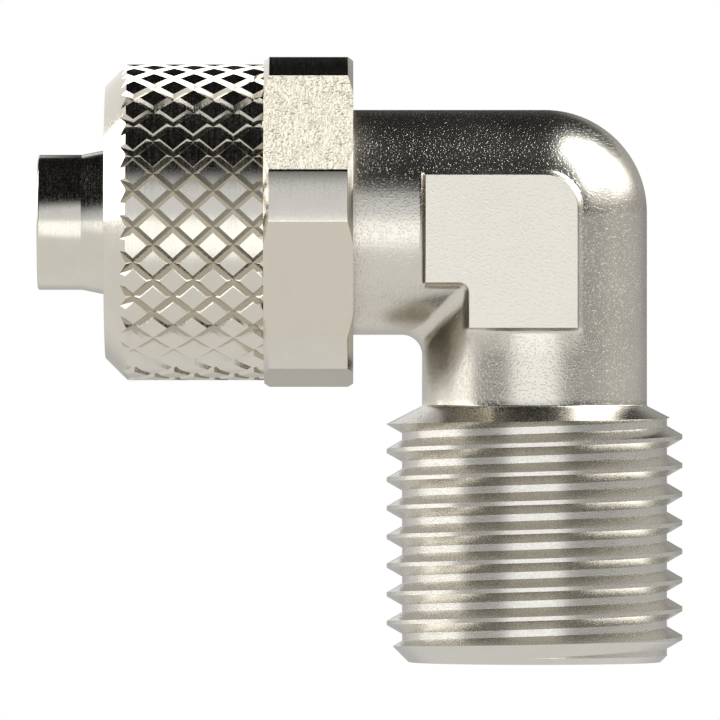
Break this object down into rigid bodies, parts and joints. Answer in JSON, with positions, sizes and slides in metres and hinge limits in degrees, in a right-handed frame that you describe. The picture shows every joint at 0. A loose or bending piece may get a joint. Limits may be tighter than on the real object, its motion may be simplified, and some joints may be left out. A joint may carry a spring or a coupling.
{
  "type": "elbow hose fitting",
  "caption": "Right-angle metal elbow with a male pipe thread on one arm and, on the other, a hose nipple held by a knurled hexagon union nut.",
  "frame": {"origin": "centre of the male port thread's end face, where the fitting screws into its port", "axes": "+Z along the port thread's axis, out of the port towards the elbow; the hose arm points along -X at z = 0.01955"},
  "size_m": [0.0287, 0.015, 0.0269],
  "materials": {
    "matte_nickel": "forged brass, blasted and nickel plated, fine matte grain",
    "bright_nickel": "turned and knurled brass, nickel plated, smooth with faint turning marks"
  },
  "bodies": {
    "elbow": {"elbow_body": "matte_nickel"},
    "nut": {"union_nut": "bright_nickel"}
  },
  "joints": [
    {"name": "nut_turn", "type": "hinge", "parent": "elbow", "child": "nut", "pos_m": [-0.01356, 0, 0.01955], "axis": [-1, 0, 0], "range_deg": [0, 2250]}
  ]
}
